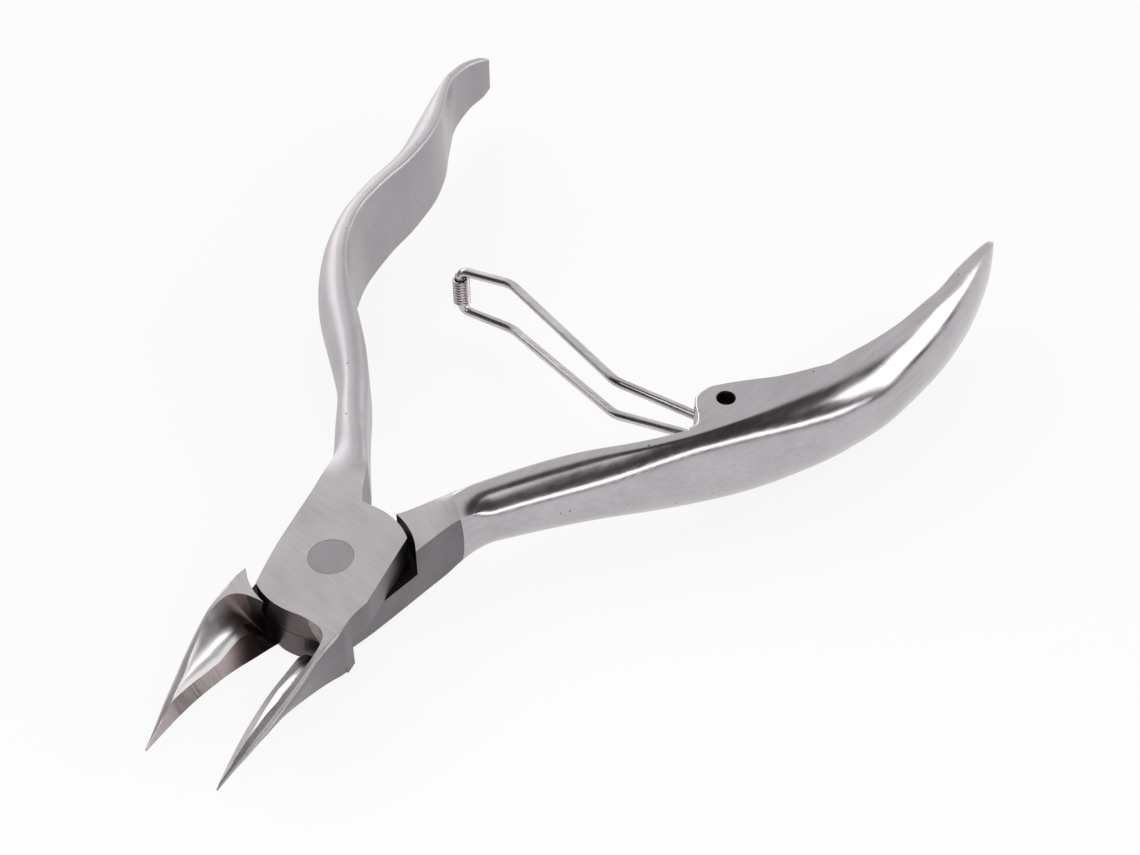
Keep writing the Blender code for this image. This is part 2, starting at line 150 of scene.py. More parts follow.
BOSS_SIDE_OUTER = ((8.55, -6.5), (12.0, -6.6), (15.0, -7.6), (18.1, -9.2), (24.5, -13.0),
                   (32.6, -18.1), (38.0, -21.3), (43.5, -24.6), (49.7, -27.8), (56.3, -30.3),
                   (64.1, -31.6), (73.2, -31.3), (80.6, -30.3), (87.8, -28.3), (94.2, -25.6),
                   (96.3, -24.1))
BOSS_NOSE = ((39.2, -17.9), (40.6, -18.2), (41.8, -17.5), (42.8, -16.4), (44.2, -15.55),
             (46.0, -15.8), (47.6, -16.75), (49.4, -18.1), (53.2, -21.1), (58.5, -24.05))

# Rounding of the handles' inner corners, wide on the neck and narrow on the grip
PLAIN_SOFT = ((11.0, 0.2), (18.0, 1.2), (26.0, 2.0), (36.0, 1.9), (43.0, 0.6), (50.0, 0.4),
              (96.3, 0.4))
BOSS_SIDE_SOFT = ((11.0, 0.2), (20.0, 0.4), (38.0, 0.5), (44.0, 0.4), (96.3, 0.4))

# The flat grinding of the joint ends on a slant across the neck
PLAIN_GROUND_TO = 12.0
BOSS_SIDE_GROUND_TO = 13.5
GROUND_SLANT = 2.9

# The wall at a jaw's heel is painted dark, as shade, as far as this from the cutting plane and
# along the jaw, and the plate's edge is painted dark as shade beyond one corner and near black
# as the pocket's shade beyond the other
UPPER_DARK_HEEL = 1.9
LOWER_DARK_HEEL = 3.0
HEEL_LENGTH = 1.6
PLATE_CORNER = 6.2
LAP_FROM = 5.55

SHARP_ANGLE = 28            # degrees between two faces from which their edge is shaded sharp

# Points round a section: bevel and hollow, top with its outer corner, right side, bottom
BEVEL_POINTS = 10
HOLLOW_POINTS = 28
LEFT_POINTS = BEVEL_POINTS + HOLLOW_POINTS
TOP_POINTS = 18
CORNER_POINTS = 8
RIGHT_POINTS = 24
BOTTOM_POINTS = 22
AROUND = LEFT_POINTS + TOP_POINTS + RIGHT_POINTS + BOTTOM_POINTS

# Steel: marks of the plate's grinding in degrees from X, and lengths in millimetres
PLATE_MARKS_TURN = -20.0
MARK_DEPTH = 0.03
SHADE_WANDER = 4.0
CLOUDS_PER_METRE = 140.0
PITS_PER_METRE = 420.0
PIT_EDGE = 1.6
PIT_SHADE = "#4A4647"

# Finishes of a half, in the order of its material slots
GROUND, HANDLE, FLANK, SIDE, HOLLOW, BEVEL, HEEL, LAP = range(8)


def through(points, at):
    """Smooth curve through the points: a cubic between each two, whose slopes never overshoot."""
    px, py = np.array(points, dtype=float).T
    at = np.clip(at, px[0], px[-1])
    step = np.diff(px)
    slope = np.diff(py) / step
    inner = np.where(slope[:-1] * slope[1:] > 0,
                     2 * slope[:-1] * slope[1:] / (slope[:-1] + slope[1:] + 1e-12), 0)
    tangent = np.concatenate([slope[:1], inner, slope[-1:]])
    k = np.clip(np.searchsorted(px, at, side="right") - 1, 0, len(step) - 1)
    t = (at - px[k]) / step[k]
    blend = t * t * (3 - 2 * t)
    return (py[k] * (1 - blend) + py[k + 1] * blend
            + step[k] * t * (1 - t) * ((1 - t) * tangent[k] - t * tangent[k + 1]))


def eased(points, at, spread):
    """The curve through the points averaged over spread millimetres to either side, and over less
    towards its ends, so that its bends follow each other without a step."""
    first, last = points[0][0], points[-1][0]
    near = np.clip(np.minimum(at - first, last - at) / spread, 0, 1) * spread
    offset = np.linspace(-1, 1, 15)
    weight = 1 + np.cos(pi * offset)
    values = [w * through(points, at + near * share) for share, w in zip(offset, weight)]
    return np.sum(values, axis=0) / weight.sum()


def stations():
    """Distances along Y of the sections: even along jaw and grip, by equal angles on the plate."""
    jaw = np.linspace(TIP_Y, -11.0, 90)
    heel = np.linspace(-10.95, -8.6, 40)
    turn = np.radians(np.linspace(87, 40, 26))
    sides = np.linspace(-5.4, 5.4, 12)
    root = np.linspace(8.75, 19.0, 60)
    neck = np.linspace(19.3, 38.6, 64)
    boss = np.linspace(38.9, 60.0, 96)
    grip = np.linspace(60.5, 91.5, 84)
    end = HANDLE_END - 4.6 * np.cos(np.linspace(0.02, pi / 2, 26))
    return np.concatenate([jaw, heel, -PLATE_RADIUS * np.sin(turn), sides,
                           PLATE_RADIUS * np.sin(turn[::-1]), root, neck, boss, grip, end])


def pairs(x, z):
    """Points (x, z) from two arrays that are stretched to the same shape."""
    return np.stack(np.broadcast_arrays(x, z), axis=-1)


def run(start, end, count):
    """Straight line on each section: count shares from start to just before end."""
    share = (np.arange(count) / count)[None, :, None]
    return start[:, None] * (1 - share) + end[:, None] * share


def arc_shares(count):
    """Shares of a quarter turn, from 0 to just before 1."""
    return np.arange(count)[None, :] / count


def block_profile(left, right):
    """Square section of the joint: four straight sides between its left and right."""
    corners = [pairs(left, -HALF_THICK), pairs(left, HALF_THICK),
               pairs(right, HALF_THICK), pairs(right, -HALF_THICK)]
    counts = (LEFT_POINTS, TOP_POINTS, RIGHT_POINTS, BOTTOM_POINTS)
    return np.concatenate([run(corners[i], corners[(i + 1) % 4], counts[i]) for i in range(4)],
                          axis=1)


def handle_profile(outer, crest, inner, height, soft):
    """D section: x = c + (outer - c) cos a, z = height sin a outside, a flat face inside, and
    quarter circles of radius soft between the flat face and the top and bottom."""
    crest = (crest - soft - CREST_FLAT)[:, None]
    outer, inner, height, soft = (part[:, None] for part in (outer, inner, height, soft))

    def shell(angle):
        return pairs(crest + (outer - crest) * np.cos(angle), height * np.sin(angle))

    def corner(angle, sign):
        return pairs(inner - soft + soft * np.cos(angle),
                     sign * (height - soft + soft * np.sin(angle)))

    side = shell(pi / 4 * (2 * arc_shares(LEFT_POINTS) - 1))
    curve = TOP_POINTS // 2
    top = np.concatenate([shell(pi / 4 * (1 + arc_shares(curve))),
                          corner(pi / 2 * (1 - arc_shares(TOP_POINTS - curve)), 1)], axis=1)
    flat = run(pairs(inner, height - soft)[:, 0], pairs(inner, soft - height)[:, 0], RIGHT_POINTS)
    curve = BOTTOM_POINTS // 2
    below = np.concatenate([corner(pi / 2 * arc_shares(curve), -1),
                            shell(-pi / 4 * (2 - arc_shares(BOTTOM_POINTS - curve)))], axis=1)
    return np.concatenate([side, top, flat, below], axis=1)


def jaw_profile(d, heel):
    """Hollow-ground jaw section: a straight bevel from the edge, a hollow that follows a quadratic
    curve up to the rim, a flat rim with a rounded outer corner, a bulged back and a sole."""
    edge = pairs(EDGE_X, eased(EDGE_HEIGHT, d, 1.0))
    rim_z = eased(RIM_HEIGHT, d, 1.0)
    rim_out = eased(RIM_OUTER, d, 0.8)
    rim_in = np.minimum(through(RIM_INNER, d - heel), rim_out - 0.12)
    keel = pairs(eased(KEEL_X, d, 0.8), eased(KEEL_HEIGHT, d, 1.0))
    bevel_x = np.minimum(through(BEVEL_TOP, d - heel), rim_in - 0.01)
    bevel_z = np.minimum(edge[:, 1] + BEVEL_SLOPE * (bevel_x - edge[:, 0]), rim_z - 0.02)
    bevel = pairs(bevel_x, bevel_z)
    rim = pairs(rim_in, rim_z)

    def back(share):
        bulge = 4 * JAW_BULGE * np.minimum(1, rim_out / 3)[:, None] * share * (1 - share)
        x = rim_out[:, None] + (keel[:, :1] - rim_out[:, None]) * share + bulge
        return pairs(x, rim_z[:, None] + (keel[:, 1:] - rim_z[:, None]) * share)

    depth = np.minimum((rim_z - bevel_z) / (rim_z - keel[:, 1]), 1)[:, None]
    wall = back(depth)[:, 0, 0]
    belly = pairs(np.maximum(bevel_x, wall - JAW_WALL), bevel_z)
    t = arc_shares(HOLLOW_POINTS)[:, :, None]
    scoop = (1 - t) ** 2 * bevel[:, None] + 2 * t * (1 - t) * belly[:, None] + t * t * rim[:, None]
    rounding = np.clip((d - 8.6) / 3.0, 0.05, 1) * np.minimum(0.7, 0.45 * (rim_out - rim_in))
    shoulder = pairs(rim_out - rounding, rim_z)
    drop = (rounding / (rim_z - keel[:, 1]))[:, None]
    below = back(drop)[:, 0]
    t = arc_shares(CORNER_POINTS)[:, :, None]
    corner = pairs(rim_out, rim_z)
    bend = ((1 - t) ** 2 * shoulder[:, None] + 2 * t * (1 - t) * corner[:, None]
            + t * t * below[:, None])
    rest = back(drop + (1 - drop) * arc_shares(RIGHT_POINTS))
    return np.concatenate([run(edge, bevel, BEVEL_POINTS), scoop,
                           run(rim, shoulder, TOP_POINTS - CORNER_POINTS), bend, rest,
                           run(keel, edge, BOTTOM_POINTS)], axis=1)


def half_surface(inner_line, outer_line, heights, nose, heel, softness, ground_to, dark_heel):
    """Sections of a half, jaw to +X and handle to -X, and the finish of each of their strips."""
    y = stations()
    side = through(PLATE_SIDE, y)
    left = np.where(y > 0, side, np.minimum(plate_edge(y), side))
    right = np.where(y > 0, plate_edge(y), through(RIM_OUTER, -y))
    joint = block_profile(-left, right)
    crest = eased(inner_line, y, 2.0)
    inner = crest
    if nose:
        on_nose = (y > nose[0][0]) & (y < nose[-1][0])
        inner = np.where(on_nose, np.maximum(crest, through(nose, y)), crest)
    outer = eased(outer_line, y, 3.0)
    height = eased(heights, y, 4.0)
    soft = np.minimum(through(softness, y), 0.4 * (inner - outer))
    share = np.clip((y - 10.5) / 7.5, 0, 1)
    share = (share * share * (3 - 2 * share))[:, None, None]
    handle = (block_profile(outer, inner) * (1 - share)
              + handle_profile(outer, crest, inner, height, soft) * share)
    along = y[:, None, None]
    section = np.where(along < -PLATE_RADIUS, jaw_profile(-y, heel),
                       np.where(along < PLATE_RADIUS, joint, handle))
    rows = np.stack([section[..., 0], np.broadcast_to(y[:, None], section.shape[:2]),
                     section[..., 1]], axis=-1)

    strip = np.arange(AROUND)[None, :]
    middle = ((y[:-1] + y[1:]) / 2)[:, None]
    finish = np.full((len(y) - 1, AROUND), GROUND)
    finish[(middle < -PLATE_RADIUS) & (strip < BEVEL_POINTS)] = BEVEL
    # The hollow's near-white finish is a painted reflection
    finish[(middle < -PLATE_RADIUS) & (strip >= BEVEL_POINTS) & (strip < LEFT_POINTS)] = HOLLOW
    on_left = strip < LEFT_POINTS
    on_top = ~on_left & (strip < LEFT_POINTS + TOP_POINTS)
    on_right = ~on_left & ~on_top & (strip < LEFT_POINTS + TOP_POINTS + RIGHT_POINTS)
    across = np.clip((strip - LEFT_POINTS) / TOP_POINTS, 0, 1)
    neck = ground_to + GROUND_SLANT * across
    # Sides of joint and jaws take the side finish, whose darker grey is painted shade
    finish[(middle < PLATE_RADIUS) & on_right] = SIDE
    finish[(abs(middle) < PLATE_RADIUS) & on_left] = SIDE
    inward = (section[:-1, :, 0] + section[1:, :, 0]) / 2
    # Heel walls near the cutting plane and the plate's edge at the jaw corner are painted dark as
    # shade
    at_heel = (middle < -PLATE_RADIUS) & (middle > -heel - HEEL_LENGTH)
    finish[at_heel & on_left & (inward < dark_heel)] = HEEL
    finish[(middle > -PLATE_RADIUS) & (middle < -PLATE_CORNER) & on_left] = HEEL
    # The plate's edge beside the pocket takes the pocket's near-black painted shade
    finish[(middle > LAP_FROM) & (middle < PLATE_RADIUS) & on_right] = LAP
    # The neck's sides up to the slant take the same finish, with its painted shade
    finish[(middle > PLATE_RADIUS) & (middle < neck) & (on_left | on_right)] = SIDE
    finish[(middle > neck) & ~on_right] = HANDLE
    # The handle's flat inner face takes the flank finish, darkened as painted shade
    finish[(middle > neck) & on_right] = FLANK
    return rows, finish


def plate_edge(y):
    """Half width of the lap plate: a circle cut off by the joint's ground sides."""
    return np.minimum(JOINT_SIDE, np.sqrt(np.maximum(PLATE_RADIUS ** 2 - y * y, EDGE_X ** 2)))


def swung(points, turn):
    """Points of a half turned about the rivet by so many degrees and raised onto the lower face."""
    c, s = cos(radians(turn)), sin(radians(turn))
    x, y, z = points[..., 0], points[..., 1], points[..., 2]
    return np.stack([c * x - s * y, s * x + c * y, z + HALF_THICK], axis=-1)


def skin(name, rows, finish=None):
    """Closed mesh over a grid of points: quads between rows, a face over each end, and a UV map
    that counts round the section across and millimetres of length up."""
    count, around = rows.shape[:2]
    i, j = np.meshgrid(np.arange(count - 1), np.arange(around), indexing="ij")
    k = (j + 1) % around
    quads = np.stack([i * around + j, (i + 1) * around + j, (i + 1) * around + k,
                      i * around + k], axis=-1).reshape(-1, 4)
    caps = [list(range(around)), list(range((count - 1) * around, count * around))[::-1]]
    mesh = bpy.data.meshes.new(name)
    mesh.from_pydata((rows.reshape(-1, 3) * MM).tolist(), [], quads.tolist() + caps)
    length = np.concatenate([[0], np.cumsum(np.linalg.norm(
        np.diff(rows.mean(axis=1), axis=0), axis=1))])
    u = np.stack([j, j, j + 1, j + 1], axis=-1).reshape(-1) / around
    v = np.stack([length[i], length[i + 1], length[i + 1], length[i]], axis=-1).reshape(-1)
    uv = np.zeros((len(mesh.loops), 2), dtype=np.float32)
    uv[:len(u)] = np.column_stack([u, v])
    mesh.uv_layers.new(name="UVMap").data.foreach_set("uv", uv.ravel())
    if finish is not None:
        slots = np.concatenate([finish.ravel(), [GROUND, HANDLE]]).astype(np.int32)
        mesh.polygons.foreach_set("material_index", slots)
    shell = bmesh.new()
    shell.from_mesh(mesh)
    bmesh.ops.remove_doubles(shell, verts=shell.verts, dist=2e-7)
    bmesh.ops.recalc_face_normals(shell, faces=shell.faces)
    shell.to_mesh(mesh)
    shell.free()
    return mesh


def place(name, mesh, body, node):
    """Object that stands for a CAD node and rides on its body, shaded smooth between its edges."""
    mesh.shade_smooth()
    mesh.set_sharp_from_angle(angle=radians(SHARP_ANGLE))
    piece = bpy.data.objects.new(name, mesh)
    bpy.context.scene.collection.objects.link(piece)
    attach(piece, body)
    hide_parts(node)


def turned(name, profile, centre, sides=160):
    """Closed solid of revolution: the profile's (radius, height) points carried round a circle."""
    profile = np.array(profile)
    angle = np.arange(sides)[None, :] * 2 * pi / sides
    radius, height = profile[:, :1], profile[:, 1:]
    rows = np.stack([centre[0] + radius * np.cos(angle), centre[1] + radius * np.sin(angle),
                     height + 0 * angle], axis=-1)
    return skin(name, rows)


def cut(mesh, cutters, finishes):
    """Mesh with each cutter's shape taken out of it, where the cut faces get the last finish."""
    for shape in (mesh, *cutters):
        for finish in finishes:
            shape.materials.append(finish)
    piece = bpy.data.objects.new("blank", mesh)
    bpy.context.scene.collection.objects.link(piece)
    made = [piece]
    for cutter in cutters:
        # Cut faces take the pocket's near-black painted shade
        cutter.polygons.foreach_set("material_index",
                                    np.full(len(cutter.polygons), LAP, dtype=np.int32))
        tool = bpy.data.objects.new("cutter", cutter)
        bpy.context.scene.collection.objects.link(tool)
        made.append(tool)
        boolean = piece.modifiers.new("cut", "BOOLEAN")
        boolean.operation = "DIFFERENCE"
        boolean.solver = "EXACT"
        boolean.object = tool
    bpy.context.view_layer.update()
    graph = bpy.context.evaluated_depsgraph_get()
    result = bpy.data.meshes.new_from_object(piece.evaluated_get(graph))
    for item in made:
        bpy.data.objects.remove(item)
    return result


def rivet_outline(grow, reach):
    """Rivet outline from its top centre to its bottom centre, flared towards both faces."""
    face = RIVET_FACE_RADIUS + grow
    shaft = RIVET_RADIUS + grow
    flare = HALF_THICK - RIVET_FLARE
    lip = face + (face - shaft) / RIVET_FLARE * reach
    end = HALF_THICK + reach
    return [(0, end), (lip, end), (shaft, flare), (shaft, -flare), (lip, -end), (0, -end)]


def drum(radius, low, high, centre=(0, 0)):
    """Upright cylinder for a pocket or a bore."""
    return turned("drum", [(0, high), (radius, high), (radius, low), (0, low)], centre, 192)


def in_frame(mesh, turn):
    """Mesh turned about the rivet and raised, like the half that it belongs to."""
    points = np.empty(len(mesh.vertices) * 3, dtype=np.float32)
    mesh.vertices.foreach_get("co", points)
    points = swung(points.reshape(-1, 3) / MM, turn) * MM
    mesh.vertices.foreach_set("co", points.astype(np.float32).ravel())
    mesh.update()
    return mesh


def rounded_path(corners, radii, steps=20):
    """Polyline with each inner corner replaced by an arc of the given radius."""
    corners = [np.array(corner, dtype=float) for corner in corners]
    path = [corners[0][None]]
    for before, corner, after, radius in zip(corners, corners[1:], corners[2:], radii):
        back = (before - corner) / np.linalg.norm(before - corner)
        on = (after - corner) / np.linalg.norm(after - corner)
        half = np.arccos(np.clip(back @ on, -1, 1)) / 2
        bisector = (back + on) / np.linalg.norm(back + on)
        centre = corner + bisector * radius / sin(half)
        axis_x = (corner + back * radius / tan(half) - centre) / radius
        angle = (np.linspace(0, pi - 2 * half, steps + 1))[:, None]
        path.append(centre + radius * (axis_x * np.cos(angle) - back * np.sin(angle)))
    path.append(corners[-1][None])
    return np.concatenate(path)


def spring_path():
    """Centre line of the wire, from its upper end in the boss round the roller to its lower end."""
    post = np.array([*BOSS_HOLE, 0.0])
    upper = [post + (0, 0, POST_TOP), post + (0, 0, LEG_AT_POST), *LEG_BENDS,
             (*ROLLER_AXIS, LEG_AT_ROLLER)]
    lower = [(x, y, -z) for x, y, z in upper[::-1]]
    radii = [WIRE_BEND, LEG_BEND, LEG_BEND, WIRE_BEND]
    return rounded_path(upper + lower, radii + radii[::-1])


def coil_path():
    """Helix round the roller's axis: the angle grows evenly with the height."""
    turns = np.arange(int(COIL_TURNS * 40) + 1) / 40
    angle = 2 * pi * turns
    return np.column_stack([ROLLER_AXIS[0] + COIL_RADIUS * np.cos(angle),
                            ROLLER_AXIS[1] + COIL_RADIUS * np.sin(angle),
                            (turns - COIL_TURNS / 2) * COIL_PITCH])


def drawn_wire(name, path, radius, reference, sides):
    """Round wire along a path: a circle carried square to it, with slightly broken end edges."""
    along = np.gradient(path, axis=0)
    along /= np.linalg.norm(along, axis=1)[:, None]
    side = np.cross(along, reference)
    side /= np.linalg.norm(side, axis=1)[:, None]
    up = np.cross(side, along)
    nip = 0.15 * radius
    start, end = path[0], path[-1]
    path = np.concatenate([[start, start, start + along[0] * nip], path[1:-1],
                           [end - along[-1] * nip, end, end]])
    repeat = [0, 0, 0, *range(1, len(side) - 1), -1, -1, -1]
    size = np.full(len(path), radius)
    size[[0, -1]] = 0
    size[[1, -2]] = radius - nip
    angle = np.arange(sides)[None, :, None] * 2 * pi / sides
    ring = side[repeat][:, None] * np.cos(angle) + up[repeat][:, None] * np.sin(angle)
    return skin(name, path[:, None] + size[:, None, None] * ring)


def linear(code):
    """Linear RGBA of an sRGB hex colour."""
    part = np.array([int(code[i:i + 2], 16) for i in (1, 3, 5)]) / 255
    value = np.where(part <= 0.04045, part / 12.92, ((part + 0.055) / 1.055) ** 2.4)
    return (*value.tolist(), 1.0)


def add(material, kind, inputs=(), **settings):
    """Node with its settings, where each input is a value or another node's output."""
    tree = material.node_tree
    node = tree.nodes.new(kind)
    for setting, value in settings.items():
        setattr(node, setting, value)
    for socket, value in dict(inputs).items():
        if isinstance(value, bpy.types.NodeSocket):
            tree.links.new(value, node.inputs[socket])
        else:
            node.inputs[socket].default_value = value
    return node


def new_finish(name):
    """Empty material and its Principled surface, fully metallic."""
    material = bpy.data.materials.new(name)
    material.use_nodes = True
    surface = material.node_tree.nodes["Principled BSDF"]
    surface.inputs["Metallic"].default_value = 1.0
    return material, surface


def steel(name, shades, roughness, grain, turn=0.0, relief=0.0, specks=0.0, heel_shading=None):
    """Stainless steel. Marks of grain = (length, width, depth) millimetres lie along a line turned
    by so many degrees from X. They mix the two shades and move the roughness between its two
    values. Specks are small pits, this share of their spacing wide. The last argument, (shade,
    from, to), paints shade: it darkens the steel from one distance along the half's Y axis, in
    millimetres, to another."""
    material, surface = new_finish(name)
    coords = add(material, "ShaderNodeTexCoord").outputs["Object"]
    turned_back = add(material, "ShaderNodeMapping",
                      {"Vector": coords, "Rotation": (0, 0, -radians(turn))}, vector_type="POINT")
    stretched = add(material, "ShaderNodeMapping",
                    {"Vector": turned_back.outputs["Vector"],
                     "Scale": [1 / (size * MM) for size in grain]}, vector_type="POINT")
    marks = add(material, "ShaderNodeTexNoise",
                {"Vector": stretched.outputs["Vector"], "Scale": 1.0, "Detail": 4.0,
                 "Roughness": 0.6})
    clouds = add(material, "ShaderNodeTexNoise",
                 {"Vector": coords, "Scale": CLOUDS_PER_METRE, "Detail": 3.0, "Roughness": 0.5})
    both = add(material, "ShaderNodeMath",
               {0: marks.outputs["Fac"], 1: clouds.outputs["Fac"]}, operation="ADD")
    spread = add(material, "ShaderNodeMapRange",
                 {"Value": both.outputs["Value"], "From Min": 0.72, "From Max": 1.28})
    colour = add(material, "ShaderNodeMix",
                 {"Factor": spread.outputs["Result"], "A": linear(shades[0]),
                  "B": linear(shades[1])}, data_type="RGBA")
    shine = add(material, "ShaderNodeMapRange",
                {"Value": marks.outputs["Fac"], "From Min": 0.3, "From Max": 0.7,
                 "To Min": roughness[0], "To Max": roughness[1]})
    tree = material.node_tree
    base = colour.outputs["Result"]
    if specks:
        cells = add(material, "ShaderNodeTexVoronoi", {"Vector": coords, "Scale": PITS_PER_METRE})
        pits = add(material, "ShaderNodeMapRange",
                   {"Value": cells.outputs["Distance"], "From Min": specks,
                    "From Max": specks * PIT_EDGE})
        base = add(material, "ShaderNodeMix",
                   {"Factor": pits.outputs["Result"], "A": linear(PIT_SHADE), "B": base},
                   data_type="RGBA").outputs["Result"]
    # Painted shade: darker along Y towards the jaw's heel, over an edge that wanders with the
    # clouds
    if heel_shading:
        split = add(material, "ShaderNodeSeparateXYZ", {"Vector": turned_back.outputs["Vector"]})
        blurred = add(material, "ShaderNodeMath",
                      {0: clouds.outputs["Fac"], 1: SHADE_WANDER * MM, 2: split.outputs["Y"]},
                      operation="MULTIPLY_ADD")
        share = add(material, "ShaderNodeMapRange",
                    {"Value": blurred.outputs["Value"], "From Min": heel_shading[1] * MM,
                     "From Max": heel_shading[2] * MM})
        base = add(material, "ShaderNodeMix",
                   {"Factor": share.outputs["Result"], "A": base, "B": linear(heel_shading[0])},
                   data_type="RGBA").outputs["Result"]
    tree.links.new(base, surface.inputs["Base Color"])
    tree.links.new(shine.outputs["Result"], surface.inputs["Roughness"])
    if relief:
        bump = add(material, "ShaderNodeBump",
                   {"Height": marks.outputs["Fac"], "Strength": relief,
                    "Distance": MARK_DEPTH * MM})
        tree.links.new(bump.outputs["Normal"], surface.inputs["Normal"])
    return material


def half_finishes(side, turn, gloss):
    """Finishes of one half, in the order of its slots, whose marks turn with it. Gloss holds the
    lowest and the highest roughness of its handle."""
    # Flat-ground stainless steel: even grey, with fine marks from the wheel across the plate
    ground = steel(f"{side}_flat_ground_stainless", ("#A4A0A3", "#B7B2B5"), (0.32, 0.44),
                   (5.0, 0.16, 0.16), turn + PLATE_MARKS_TURN, 0.35)
    # Satin-polished forging: softly mirroring, with long faint lines along the handle
    satin = steel(f"{side}_satin_polished_stainless", ("#ADA8AC", "#BBB6BA"), gloss,
                  (0.5, 9.0, 0.5), turn, 0.06, 0.035)
    # Belt-ground flank: a little duller, with marks along the handle, darkened as painted shade
    flank_painted_shade = steel(f"{side}_belt_ground_painted_shade", ("#969195", "#A39EA2"), (0.26, 0.36),
                  (0.4, 7.0, 0.4), turn, 0.2, 0.03)
    # Ground sides of joint and jaws: the dullest of the ground faces, darkened as painted shade
    shaded_side = steel(f"{side}_side_ground_painted_shade", ("#6C666B", "#7C767A"), (0.34, 0.46),
                 (0.5, 4.0, 0.5), turn, 0.3)
    # Wheel-polished hollow: close to a mirror, painted near white as a reflection,
    # with brown painted shade at its heel
    painted_mirror = steel(f"{side}_hollow_painted_reflection_shade", ("#F4F1F3", "#FCFAFB"), (0.28, 0.36),
                   (0.6, 4.0, 0.6), turn, 0.05, heel_shading=("#857673", -11.6, -8.6))
    # Honed bevel: lines square to the cutting edge, with brown painted shade towards the heel
    honed = steel(f"{side}_honed_heel_shaded_stainless", ("#A99F9E", "#C6BDBC"), (0.28, 0.38),
                  (3.0, 0.22, 3.0), turn, 0.5, heel_shading=("#6E605F", -16.5, -10.5))
    # Heel walls and the plate's edge by the jaw: brown-grey painted shade of the crotch
    crotch_shade = steel(f"{side}_crotch_painted_shade", ("#453B3D", "#65595A"), (0.34, 0.46),
                   (0.4, 0.4, 1.5), turn, 0.4)
    # As-milled pocket and bores, and the plate's edge beside the pocket: near-black painted shade
    pocket_shade = steel(f"{side}_pocket_painted_shade", ("#1E191A", "#3A3233"), (0.4, 0.52),
                   (0.3, 0.3, 4.0), turn, 0.3)
    return [ground, satin, flank_painted_shade, shaded_side, painted_mirror, honed, crotch_shade, pocket_shade]


def make_halves():
    """Both halves with their lap pockets, rivet bore, boss hole and boss slot."""
    reach = HALF_THICK + 4.0
    upper_rows, upper_finish = half_surface(PLAIN_INNER, PLAIN_OUTER, PLAIN_HEIGHT, (),
                                            HEEL_UPPER, PLAIN_SOFT, PLAIN_GROUND_TO,
                                            UPPER_DARK_HEEL)
    lower_rows, lower_finish = half_surface(BOSS_SIDE_INNER, BOSS_SIDE_OUTER, BOSS_SIDE_HEIGHT,
                                            BOSS_NOSE, HEEL_LOWER, BOSS_SIDE_SOFT,
                                            BOSS_SIDE_GROUND_TO, LOWER_DARK_HEEL)
    lower_rows[..., 0] *= -1
    bore = rivet_outline(RUNNING_FIT, 0.4)
    upper = cut(skin("upper_half_forging", upper_rows, upper_finish),
                [drum(SHOULDER_RADIUS, -reach, LAP_GAP), turned("bore", bore, (0, 0))],
                half_finishes("upper", HALF_OPENING, (0.42, 0.5)))
    chamfer_end = BOSS_TOP - HOLE_CHAMFER
    hole = [(0, reach), (BOSS_HOLE_RADIUS + reach - chamfer_end, reach),
            (BOSS_HOLE_RADIUS, chamfer_end), (BOSS_HOLE_RADIUS, -reach), (0, -reach)]
    lower = cut(skin("lower_half_forging", lower_rows, lower_finish),
                [drum(SHOULDER_RADIUS, -LAP_GAP, reach), turned("bore", bore, (0, 0)),
                 turned("hole", hole, BOSS_HOLE),
                 drum(SLOT_RADIUS, -SLOT_HALF, SLOT_HALF, SLOT_CENTRE)],
                half_finishes("lower", -HALF_OPENING, (0.16, 0.24)))
    place("upper_half_forging", in_frame(upper, HALF_OPENING), "upper", "upper_half")
    place("lower_half_forging", in_frame(lower, -HALF_OPENING), "lower", "lower_half")


def make_rivet():
    """Flush rivet with a fine broken edge round each face."""
    outline = rivet_outline(0, 0)
    rim, drop = RIVET_FACE_RADIUS + 0.03, 0.02
    outline[1:2] = [(rim - drop, HALF_THICK), (rim, HALF_THICK - drop)]
    outline[-2:-1] = [(rim, drop - HALF_THICK), (rim - drop, -HALF_THICK)]
    # Peened and ground rivet face: a little darker and duller than the plate
    face = steel("rivet_ground_stainless", ("#8C888B", "#969295"), (0.36, 0.46),
                 (3.0, 0.14, 0.14), -10.0, 0.4)
    mesh = in_frame(turned("joint_rivet_ground", outline, (0, 0)), -HALF_OPENING)
    mesh.materials.append(face)
    place("joint_rivet_ground", mesh, "lower", "joint_rivet")


def make_spring():
    """Wire spring with its post ends in the boss, and the close-wound roller at its far end."""
    # Hard-drawn spring wire: bright, with fine lines from the die along it
    drawn = steel("drawn_spring_wire", ("#A8A3A2", "#D6D2D1"), (0.12, 0.22), (6.0, 0.2, 0.2),
                  0.0, 0.25)
    coiled = steel("wound_spring_wire", ("#9C9796", "#C9C4C3"), (0.16, 0.26), (0.5, 0.5, 0.2),
                   0.0, 0.1)
    wire = in_frame(drawn_wire("spring_wire_drawn", spring_path(), WIRE_RADIUS, (0, 1, 0), 28),
                    -HALF_OPENING)
    wire.materials.append(drawn)
    place("spring_wire_drawn", wire, "bail", "spring_wire")
    coil = in_frame(drawn_wire("roller_coil_wound", coil_path(), COIL_WIRE_RADIUS, (0, 0, 1), 14),
                    -HALF_OPENING)
    coil.materials.append(coiled)
    place("roller_coil_wound", coil, "roller", "roller_coil")


def add_light(name, direction, distance, size, power):
    """White softbox that faces the middle of the tool from a direction, sizes in metres."""
    lamp = bpy.data.lights.new(name, "AREA")
    lamp.shape = "RECTANGLE"
    lamp.size, lamp.size_y = size
    lamp.energy = power
    holder = bpy.data.objects.new(name, lamp)
    middle = Vector((0, 0.03, 0))
    holder.location = Vector(direction).normalized() * distance + middle
    holder.rotation_euler = (middle - holder.location).to_track_quat("-Z", "Y").to_euler()
    holder.visible_camera = False
    bpy.context.scene.collection.objects.link(holder)


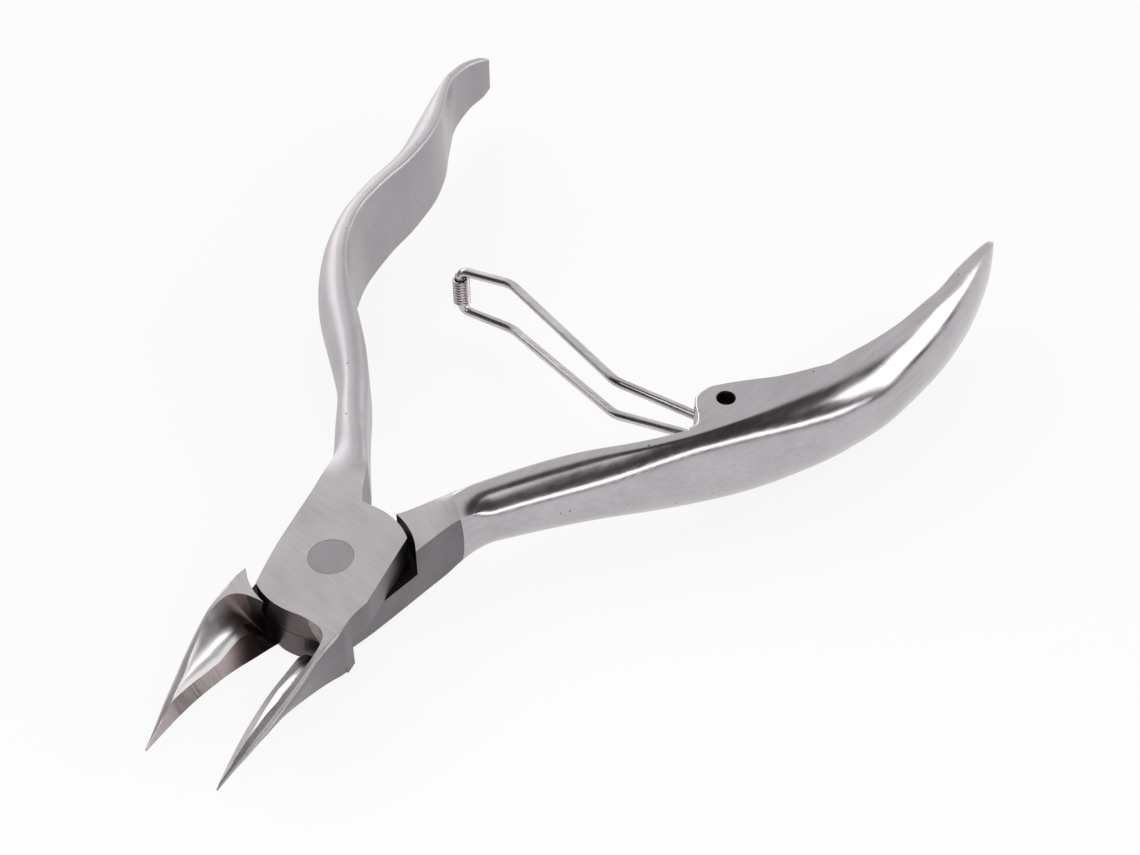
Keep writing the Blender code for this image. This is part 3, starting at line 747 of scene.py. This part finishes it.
def make_studio():
    """Glowing white table, softboxes, a surround that is pale at the back left and dark at the
    front right, and the camera."""
    low = min(corner[2] for corner in cad_box) - 0.1 * MM
    half = 1.5
    table = bpy.data.meshes.new("table")
    table.from_pydata([(-half, -half, low), (half, -half, low), (half, half, low),
                       (-half, half, low)], [], [(0, 1, 2, 3)])
    white = bpy.data.materials.new("white_light_table")
    white.use_nodes = True
    surface = white.node_tree.nodes["Principled BSDF"]
    surface.inputs["Base Color"].default_value = linear("#707070")
    surface.inputs["Roughness"].default_value = 0.9
    surface.inputs["Specular IOR Level"].default_value = 0.0
    surface.inputs["Emission Color"].default_value = linear("#FFFFFF")
    surface.inputs["Emission Strength"].default_value = 0.85
    table.materials.append(white)
    holder = bpy.data.objects.new("table", table)
    bpy.context.scene.collection.objects.link(holder)

    world = bpy.data.worlds.new("studio")
    bpy.context.scene.world = world
    world.use_nodes = True
    tree = world.node_tree
    coords = add(world, "ShaderNodeTexCoord").outputs["Generated"]
    split = add(world, "ShaderNodeSeparateXYZ", {"Vector": coords})
    lean = add(world, "ShaderNodeMath",
               {0: split.outputs["X"], 1: -1.0, 2: split.outputs["Y"]}, operation="MULTIPLY_ADD")
    ramp = add(world, "ShaderNodeMapRange",
               {"Value": lean.outputs["Value"], "From Min": 0.05, "From Max": 0.35,
                "To Min": 0.06, "To Max": 0.9}, interpolation_type="SMOOTHSTEP")
    tree.nodes["Background"].inputs["Color"].default_value = linear("#FFFFFF")
    tree.links.new(ramp.outputs["Result"], tree.nodes["Background"].inputs["Strength"])

    add_light("back_right", (0.7, 0.62, 0.42), 0.9, (0.7, 0.5), 3.4)
    add_light("back_left", (-0.88, 0.31, 0.34), 0.9, (0.9, 0.7), 3.0)
    add_light("front_right_strip", (0.87, -0.445, 0.19), 0.9, (1.5, 0.08), 2.1)
    add_light("jaw_card", (0.294, -0.538, 0.79), 0.119, (0.08, 0.08), 0.03)

    lens = bpy.data.cameras.new("camera")
    lens.lens = 60
    lens.sensor_width = 36
    lens.clip_start = 0.005
    camera = bpy.data.objects.new("camera", lens)
    azimuth, elevation = radians(31.3), radians(44.29)
    back = Vector((sin(azimuth) * cos(elevation), -cos(azimuth) * cos(elevation), sin(elevation)))
    camera.location = (0.0937, -0.1042, 0.1613)
    camera.rotation_euler = (-back).to_track_quat("-Z", "Y").to_euler()
    bpy.context.scene.collection.objects.link(camera)
    bpy.context.scene.camera = camera
    bpy.context.scene.view_settings.view_transform = "Standard"


make_halves()
make_rivet()
make_spring()
make_studio()
